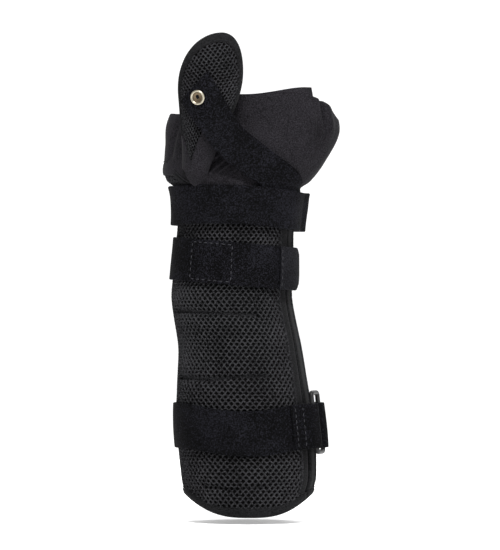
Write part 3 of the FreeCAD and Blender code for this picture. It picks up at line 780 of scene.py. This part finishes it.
def thumb_gutter():
    wide, tall = 96.0, 118.0
    middle_angle, middle_height = -11.0, 255.0

    def where(u, v):
        across = (np.asarray(u, float) - 0.5) * wide
        up = (np.asarray(v, float) - 0.5) * tall
        turned = across * math.cos(MESH_TURN) - up * math.sin(MESH_TURN)
        height = middle_height + across * math.sin(MESH_TURN) + up * math.cos(MESH_TURN)
        return middle_angle + turned / GUTTER_RUN, height

    def place(u, v):
        angle, height = where(u, v)
        return gutter(angle, np.clip(height, 205, 304))

    def keep(u, v):
        angle, height = where(u, v)
        half = THUMB_RIGHT - THUMB_APEX if angle > THUMB_APEX else THUMB_APEX - THUMB_LEFT
        swing = (angle - THUMB_APEX) / (half - 7)
        if abs(swing) >= 1 or height < facing_top(angle) - 1.5:
            return False
        return height < gutter_edge(math.degrees(math.asin(swing)), 3.0)[1]

    obj = spacer_mesh("thumb_mesh", place, 35, 63, 1.1, [YARN, HOLE_SHADE], keep=keep,
                      lift=lambda u, v: 0.25 * ripple(u * 60, v * 80, 0.2))
    put(obj, "shell", "spacer_mesh", "thumb_panel")

    angles = fine(THUMB_LEFT + 1, THUMB_RIGHT - 1, 1.2, 0.25)[:, None]
    rows = fine(0, 1, 1.2, 36)[None]
    foot = FACING_FOOT + 12 * (1 - ease(angles, -85, 25))
    height = foot + rows * (facing_top(angles) - foot)
    held = np.maximum(height, THUMB_FOOT)
    on_gutter = gutter(angles, held, 0.2)
    flare = 1 - ease(height, FACING_FOOT, THUMB_FOOT + 3)
    x = -33.0 + (on_gutter[..., 0] + 33.0) * (1 + 0.3 * flare)
    lie = 3.3 - 4.2 * ease(angles, 0, 60)
    turn = np.arcsin(np.clip((x - along(BODY, height, 1)) / (along(BODY, height, 2) + lie), -0.98, 0.98))
    depth = HEM_HALF_DEPTH - DEPTH_TAPER * height + lie
    y = on_gutter[..., 1] * (1 - flare) - depth * np.cos(turn) * flare
    obj = slab("thumb_foot_facing", np.stack([x, y, height], -1), 1.3, [KNIT], edge=0.65,
               lift=lambda a, b: 0.25 * ripple(a * 2, b * 1.4, 0.7))
    put(obj, "shell", "smooth_fabric")

    def arched(offset, inset, foot):
        u = np.linspace(-90, 90, 40)[:, None]
        v = fine(0, 1, 3.0, 70)[None]
        angle, top = gutter_edge(u, inset)
        return gutter(angle, foot + v * (top - foot), offset)

    obj = slab("thumb_lining_cloth", arched(-4.8, 4.2, THUMB_FOOT + 10), 0.8, [LINER])
    put(obj, "shell", "lining_cloth", "thumb_lining")

    outer_angles, outer_heights = gutter_outline(0)
    inner_angles, inner_heights = gutter_outline(TAPE_SHOWN)
    middle = -1.1
    fold = gutter(outer_angles, outer_heights, middle)
    path = gutter(inner_angles, inner_heights, middle)
    sides = unit(fold - path)
    outward = unit(gutter(inner_angles, inner_heights, 3.0) - gutter(inner_angles, inner_heights, 0.0))
    profile = np.array(tape_profile(TAPE_SHOWN, 3.6))
    rings = np.linalg.norm(fold - path, axis=1)
    obj = tube("thumb_tape", path, sides * (rings / TAPE_SHOWN)[:, None], outward, profile, TAPE)
    put(obj, "shell", "binding_tape", "thumb_binding")
    seam_angles, seam_heights = gutter_outline(TAPE_SHOWN - 1.3)
    seam = gutter(seam_angles, seam_heights, 0.35)
    put(stitches("thumb_tape_stitches", seam, outward, DARK_THREAD, 2.0, 1.3, 0.2), "shell", "binding_tape")


# ---------------------------------------------------------------- straps

def strap_grid(angles, level, half, inside, thickness=WEBBING, step=2.0):
    u = fine(angles[0], angles[1], step, 0.7)[:, None]
    v = fine(-1, 1, 1.6, half)[None]
    return wall(u, level(u) + v * half, inside(u) + thickness / 2)


def worn(seed):
    return lambda a, b: 0.22 * ripple(a, b, seed)


def upper_straps():
    third = SECOND + WEBBING + GAP

    def top_inside(angle):
        return SECOND + (third + HOOK + GAP - SECOND) * ease(angle, 84, 98)

    grid = strap_grid((-96, 128), top_level, TOP_HALF, top_inside)
    front = slab("top_strap_front", grid, WEBBING, [PILE], edge=0.7, lift=worn(0.3))
    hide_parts("top_strap_end")
    bend_at(front)
    grid = strap_grid((100, 263), top_level, TOP_HALF, always(SECOND))
    put(slab("top_strap_back", grid, WEBBING, [PILE], edge=0.7), "shell", "loop_webbing", "top_strap_band")
    grid = strap_grid((102, 127), top_level, TOP_HALF - 1, always(third), HOOK)
    put(slab("top_hooks", grid, HOOK, [HOOKS], edge=0.5), "top_strap_end", "hook_tape", "top_strap_hook")

    level = middle_level
    grid = strap_grid((-97, 62), level, MIDDLE_HALF, always(LAY))
    front = slab("middle_strap_front", grid, WEBBING, [PILE], edge=0.7, lift=worn(1.1))
    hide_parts("middle_strap_end")
    bend_at(front)
    grid = strap_grid((68, 262), level, MIDDLE_HALF, always(LAY))
    back = slab("middle_strap_back", grid, WEBBING, [PILE], edge=0.7)
    put(back, "shell", "loop_webbing", "middle_strap_band")

    u = fine(46, 84, 1.6, 0.7)[:, None]
    v = fine(-1, 1, 1.6, MIDDLE_HALF)[None]
    clip = 1 - 0.28 * ease(u, 74, 84)
    grid = wall(u, level(u) + v * clip * MIDDLE_HALF, SECOND + HOOK / 2)
    tab = slab("middle_hook_tab", grid, HOOK, [HOOKS], edge=0.5)
    put(tab, "middle_strap_end", "hook_tape", "middle_strap_hook")

    top = LAY + WEBBING
    box = [(-42.0, -0.86), (-42.0, 0.86), (-2.0, 0.86), (-2.0, -0.86), (-42.0, -0.86)]
    rows = []
    for (a0, v0), (a1, v1) in zip(box, box[1:]):
        t = np.linspace(0, 1, 24)
        rows.append((a0 + (a1 - a0) * t, v0 + (v1 - v0) * t))
    for index, (angle, v) in enumerate(rows):
        path = wall(angle, level(angle) + v * MIDDLE_HALF, top)
        out = unit(wall(angle, level(angle), 5.0) - wall(angle, level(angle), 0.0))
        put(stitches("box_stitch_%d" % index, path, out, THREAD, 2.3, 1.3, 0.24), "shell", "loop_webbing")
    v = np.linspace(-0.92, 0.92, 24)
    path = wall(47.5 + 0 * v, level(47.5 + 0 * v) + v * MIDDLE_HALF, SECOND + HOOK)
    out = unit(wall(47.5, 150 + 0 * v, 5.0) - wall(47.5, 150 + 0 * v, 0.0))
    put(stitches("tab_stitch", path, out, THREAD, 2.3, 1.3, 0.24), "middle_strap_end", "hook_tape")


def bend_at(obj):
    """Bakes the strap's world placement into its mesh points."""
    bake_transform(obj)


def bar_line(angle):
    low = wall(angle, RING_LEVEL - BOTTOM_HALF, RING_STAND_OFF)
    high = wall(angle, RING_LEVEL + BOTTOM_HALF, RING_STAND_OFF)
    return (low + high) / 2, unit(high - low)


def arc_points(centre, radius, start, end, outward, ahead, count=14):
    """Points on an arc about a bar; 0 points outward, 90 ahead round the body."""
    turns = np.radians(np.linspace(start, end, count))[:, None]
    return centre + radius * (np.cos(turns) * outward + np.sin(turns) * ahead)


def bottom_strap():
    middle = LAY + 0.75
    loop = BAR + 0.5 + 0.75

    def around(angles, offset):
        low = wall(angles, RING_LEVEL - BOTTOM_HALF, offset)
        high = wall(angles, RING_LEVEL + BOTTOM_HALF, offset)
        return (low + high) / 2

    def axes(angle):
        outward = unit(wall(angle, RING_LEVEL, 5.0) - wall(angle, RING_LEVEL, 0.0))
        ahead = unit(wall(angle + 1, RING_LEVEL, 0.0) - wall(angle - 1, RING_LEVEL, 0.0))
        return outward, ahead

    def flat_run(name, span, offset, node, seed):
        grid = strap_grid(span, bottom_level, BOTTOM_HALF, offset, 1.5)
        obj = slab(name, grid, 1.5, [PILE], edge=0.6, lift=worn(seed))
        put(obj, "shell", "loop_webbing", *node)

    flat_run("bottom_strap_front", (-98, RING_ANGLE - 7), always(LAY), ["bottom_strap_band"], 0.6)
    flat_run("bottom_strap_back", (RING_BACK_ANGLE + 7, 264), always(LAY), ["bottom_pull_band"], 0.9)

    centre, slope = bar_line(RING_ANGLE)
    outward, ahead = axes(RING_ANGLE)
    route_out = around(np.linspace(40, 59, 12), middle + 1.6 + 3.4 * ease(np.linspace(40, 59, 12), 47, 60))
    route_out[:, 2] += bottom_level(np.linspace(40, 59, 12)) - RING_LEVEL
    arc = arc_points(centre, loop, 0, 175, outward, ahead, 18)
    route = np.concatenate([route_out, arc])
    v = fine(-1, 1, 1.6, BOTTOM_HALF)
    grid = route[:, None, :] + slope[None, None, :] * (v * BOTTOM_HALF)[None, :, None]
    obj = slab("front_ring_loop", grid, 1.5, [PILE], edge=0.6)
    put(obj, "shell", "loop_webbing")

    centre, slope = bar_line(RING_BACK_ANGLE)
    outward, ahead = axes(RING_BACK_ANGLE)
    arc = arc_points(centre, loop, 180, 360, outward, ahead, 22)
    under = around(np.linspace(RING_BACK_ANGLE + 8, RING_BACK_ANGLE + 1, 5), middle + 0.3)
    route = np.concatenate([under, arc])
    grid = route[:, None, :] + slope[None, None, :] * (v * BOTTOM_HALF)[None, :, None]
    obj = slab("pull_fold", grid[::-1], 1.5, [PILE], edge=0.6)
    put(obj, "shell", "loop_webbing")

    outer = RING_STAND_OFF + BAR + 0.6
    lying = LAY + 1.5 + 2 * GAP + HOOK

    def tail(angle):
        return outer - (outer - lying) * ease(angle, 92, 118)

    grid = strap_grid((RING_BACK_ANGLE + 5, 152), always(RING_LEVEL), BOTTOM_HALF, tail, 1.5)
    obj = slab("pull_tail", grid, 1.5, [PILE], edge=0.6, lift=worn(1.9))
    put(obj, "bottom_strap_end", "loop_webbing", "bottom_strap_end")
    grid = strap_grid((124, 151), always(RING_LEVEL), BOTTOM_HALF - 1, always(lying - GAP - HOOK), HOOK)
    hooks = slab("bottom_hooks", grid, HOOK, [HOOKS], edge=0.5)
    put(hooks, "bottom_strap_end", "hook_tape", "bottom_strap_hook")

    v = np.linspace(-0.9, 0.9, 24)
    for index, angle in enumerate((43.5, 51.0)):
        level = bottom_level(angle) + v * BOTTOM_HALF
        top = middle + 1.6 + 0.75 + (3.4 * ease(angle, 47, 60))
        path = wall(angle + 0 * v, level, top)
        out = unit(wall(angle + 0 * v, level, 5.0) - wall(angle + 0 * v, level, 0.0))
        put(stitches("loop_stitch_%d" % index, path, out, THREAD, 2.3, 1.3, 0.24), "shell", "loop_webbing")


def ring():
    """Moulded rectangular ring with rounded corners."""
    front, slope = bar_line(RING_ANGLE)
    back, _ = bar_line(RING_BACK_ANGLE)
    across = back - front
    width = float(np.linalg.norm(across))
    across = unit(across)
    front = front + slope * RING_LIFT
    half = RING_HEIGHT / 2 - BAR
    corner = 2.2
    points = []
    for cx, cz, start in ((width - corner, half - corner, 90), (corner, half - corner, 180),
                          (corner, corner - half, 270), (width - corner, corner - half, 360)):
        for turn in np.radians(np.linspace(start - 90, start, 7)):
            right = cx + corner * math.cos(turn)
            rise = cz + corner * math.sin(turn)
            points.append(front + across * right + slope * rise)
    path = np.array(points)
    facing = unit(np.cross(across, slope))
    ahead = unit(np.roll(path, -1, 0) - np.roll(path, 1, 0))
    normals = np.repeat(facing[None], len(path), 0)
    sides = unit(np.cross(ahead, normals))
    circle = [(BAR * math.cos(t), BAR * math.sin(t)) for t in np.linspace(0, 2 * math.pi, 17)[:-1]]
    obj = tube("moulded_ring_piece", path, sides, normals, circle, RING_PLASTIC, closed=True)
    put(obj, "bottom_ring", "ring_plastic", "bottom_ring")


# ---------------------------------------------------------------- diagonal strap and stud

def diagonal(place, side):
    place, side = np.broadcast_arrays(np.asarray(place, float), np.asarray(side, float))
    low = np.stack([along(THUMB_STRAP_LOW, place, k) for k in (1, 2, 3)], -1)
    high = np.stack([along(THUMB_STRAP_HIGH, place, k) for k in (1, 2, 3)], -1)
    point = low * ((1 - side) / 2)[..., None] + high * ((1 + side) / 2)[..., None]
    point[..., 1] -= along(THUMB_STRAP_BULGE, place, 1) * (1 - side ** 2)
    return point


def diagonal_normal(place, side):
    step = 0.01
    forward = diagonal(min(place + step, 4), side) - diagonal(max(place - step, 0), side)
    sideways = diagonal(place, side + step) - diagonal(place, side - step)
    normal = unit(np.cross(sideways, forward))
    return normal if normal[1] < 0 else -normal


TUCK_LOW = np.array([(4, 18, 206.4), (5, 47, 192), (6, 62, 181)])
TUCK_HIGH = np.array([(4, 35, 218.2), (5, 75, 202), (6, 88, 190)])


def thumb_strap():
    places = np.concatenate([fine(0, 3.9, 1.4, 26)[:-4], [3.93]])[:, None]
    v = fine(-1, 1, 1.4, 11.5)[None]
    upper = diagonal(places, v)
    tail = np.linspace(4.12, 5.9, 28)[:, None]
    weight = (1 + v) / 2
    angle = along(TUCK_LOW, tail, 1) * (1 - weight) + along(TUCK_HIGH, tail, 1) * weight
    height = along(TUCK_LOW, tail, 2) * (1 - weight) + along(TUCK_HIGH, tail, 2) * weight
    lower = wall(angle, height, LAY + 0.5)
    grid = np.concatenate([upper, lower])
    normal = normals_of(grid)
    if normal[0, 0, 1] > 0:
        grid = grid[::-1]
        normal = normals_of(grid)
    outward = np.where(normal[..., 1:2] < 0, 1.0, 1.0)
    grid = grid + normal * outward * WEBBING / 2
    obj = slab("thumb_strap_band", grid, WEBBING, [PILE], edge=0.7, lift=worn(2.3))
    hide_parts("thumb_strap", "thumb_strap_anchor")
    low, high = diagonal(4, -1), diagonal(4, 1)
    ahead = diagonal(3.9, 0.0) - diagonal(4, 0.0)
    line = unit(high - low)
    ahead = unit(ahead - line * float(ahead @ line))
    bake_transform(obj)


def lathe(name, foot, axis, outline, material, sides=48):
    """Turned piece: outline is (radius, level) pairs round a closed section."""
    axis = unit(axis)
    across = unit(np.cross(axis, (0, 0, 1)))
    other = np.cross(axis, across)
    n = len(outline)
    points = []
    faces = []
    for k in range(sides):
        turn = 2 * math.pi * k / sides
        spoke = across * math.cos(turn) + other * math.sin(turn)
        for radius, level in outline:
            points.append(foot + axis * level + spoke * radius)
    for k in range(sides):
        q = (k + 1) % sides
        for j in range(n):
            i = (j + 1) % n
            faces.append([k * n + j, q * n + j, q * n + i, k * n + i])
    return new_object(name, points, faces, [material])


def press_stud():
    foot = diagonal(0.36, -0.12)
    axis = diagonal_normal(0.36, -0.12)
    top = WEBBING + 0.25
    rim = []
    for k in range(13):
        turn = math.pi * k / 12
        rim.append((3.95 + 0.75 * math.cos(turn), top + 0.25 + 0.8 * math.sin(turn)))
    cap = rim + [(2.6, top - 0.2), (2.6, -0.6), (3.0, -0.6), (3.0, top), (4.55, top)]
    put(lathe("stud_ring_cap", foot, axis, cap, NICKEL), "thumb_strap", "stud_nickel", "stud_cap")
    dish = [(0.01, top - 0.35), (1.6, top - 0.25), (2.6, top + 0.05), (3.35, top + 0.45), (3.35, top + 0.2),
            (2.6, top - 0.3), (1.6, top - 0.6), (0.01, top - 0.7)]
    put(lathe("stud_cap_dish", foot, axis, dish, BRASS), "thumb_strap", "stud_brass")


# ---------------------------------------------------------------- hard pieces that keep their shape

def finish_hard_pieces():
    for node, material in (("palmar_stay", ALUMINIUM), ("dorsal_stay", ALUMINIUM), ("thumb_stay", ALUMINIUM),
                           ("stud_socket", NICKEL), ("stud_washer", NICKEL), ("stud_post", BRASS)):
        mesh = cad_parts[node].data
        mesh.materials.clear()
        mesh.materials.append(material)


# ---------------------------------------------------------------- studio

def studio():
    floor = bpy.data.meshes.new("floor")
    depth, width, rise, bend = 3.0, 4.0, 3.0, 0.8
    profile = [(-2.5, 0.0)] + [(depth - bend + bend * math.sin(t), bend - bend * math.cos(t))
                               for t in np.linspace(0, math.pi / 2, 12)] + [(depth, rise)]
    points = [(x, y, z - 0.004) for y, z in profile for x in (-width, width)]
    faces = [(2 * k, 2 * k + 1, 2 * k + 3, 2 * k + 2) for k in range(len(profile) - 1)]
    floor.from_pydata(points, [], faces)
    floor.polygons.foreach_set("use_smooth", [True] * len(floor.polygons))
    paper, _, _, shader = tree_of("white_paper")
    shader.inputs["Base Color"].default_value = (0.93, 0.93, 0.93, 1)
    shader.inputs["Roughness"].default_value = 0.9
    shader.inputs["Emission Color"].default_value = (1, 1, 1, 1)
    shader.inputs["Emission Strength"].default_value = 0.35
    floor.materials.append(paper)
    obj = bpy.data.objects.new("floor", floor)
    bpy.context.scene.collection.objects.link(obj)

    world = bpy.data.worlds.new("studio")
    world.use_nodes = True
    world.node_tree.nodes["Background"].inputs["Color"].default_value = (1, 1, 1, 1)
    world.node_tree.nodes["Background"].inputs["Strength"].default_value = 0.55
    bpy.context.scene.world = world

    def area(name, place, target, size, power):
        light = bpy.data.lights.new(name, "AREA")
        light.shape = "RECTANGLE"
        light.size, light.size_y = size
        light.energy = power
        lamp = bpy.data.objects.new(name, light)
        lamp.location = place
        lamp.rotation_euler = (Vector(target) - Vector(place)).to_track_quat("-Z", "Y").to_euler()
        bpy.context.scene.collection.objects.link(lamp)

    area("key", (0.02, -0.75, 1.05), (0, 0, 0.18), (0.35, 0.35), 17)
    area("fill", (0.9, -0.8, 0.35), (0, 0, 0.15), (0.8, 0.8), 4)
    area("back", (0.3, 0.9, 0.9), (0, 0, 0.15), (0.8, 0.5), 10)


CAMERA_DISTANCE = 3.0
PICTURE_HEIGHT = 0.341      # what the picture takes in, top to bottom, at the front of the splint
FRONT = -0.02


def camera():
    data = bpy.data.cameras.new("camera")
    data.sensor_fit = "VERTICAL"
    data.angle_y = 2 * math.atan(PICTURE_HEIGHT / 2 / (CAMERA_DISTANCE + FRONT))
    obj = bpy.data.objects.new("camera", data)
    obj.location = (0.0, -CAMERA_DISTANCE, 0.150)
    obj.rotation_euler = (math.radians(90), 0, 0)
    bpy.context.scene.collection.objects.link(obj)
    bpy.context.scene.camera = obj
    bpy.context.scene.view_settings.view_transform = "Standard"


# ---------------------------------------------------------------- everything

forearm_mesh()
forearm_linings()
edge_bindings()
stay_pockets()
hand_sleeve()
thumb_base()
thumb_gutter()
upper_straps()
bottom_strap()
ring()
thumb_strap()
press_stud()
finish_hard_pieces()
studio()
camera()
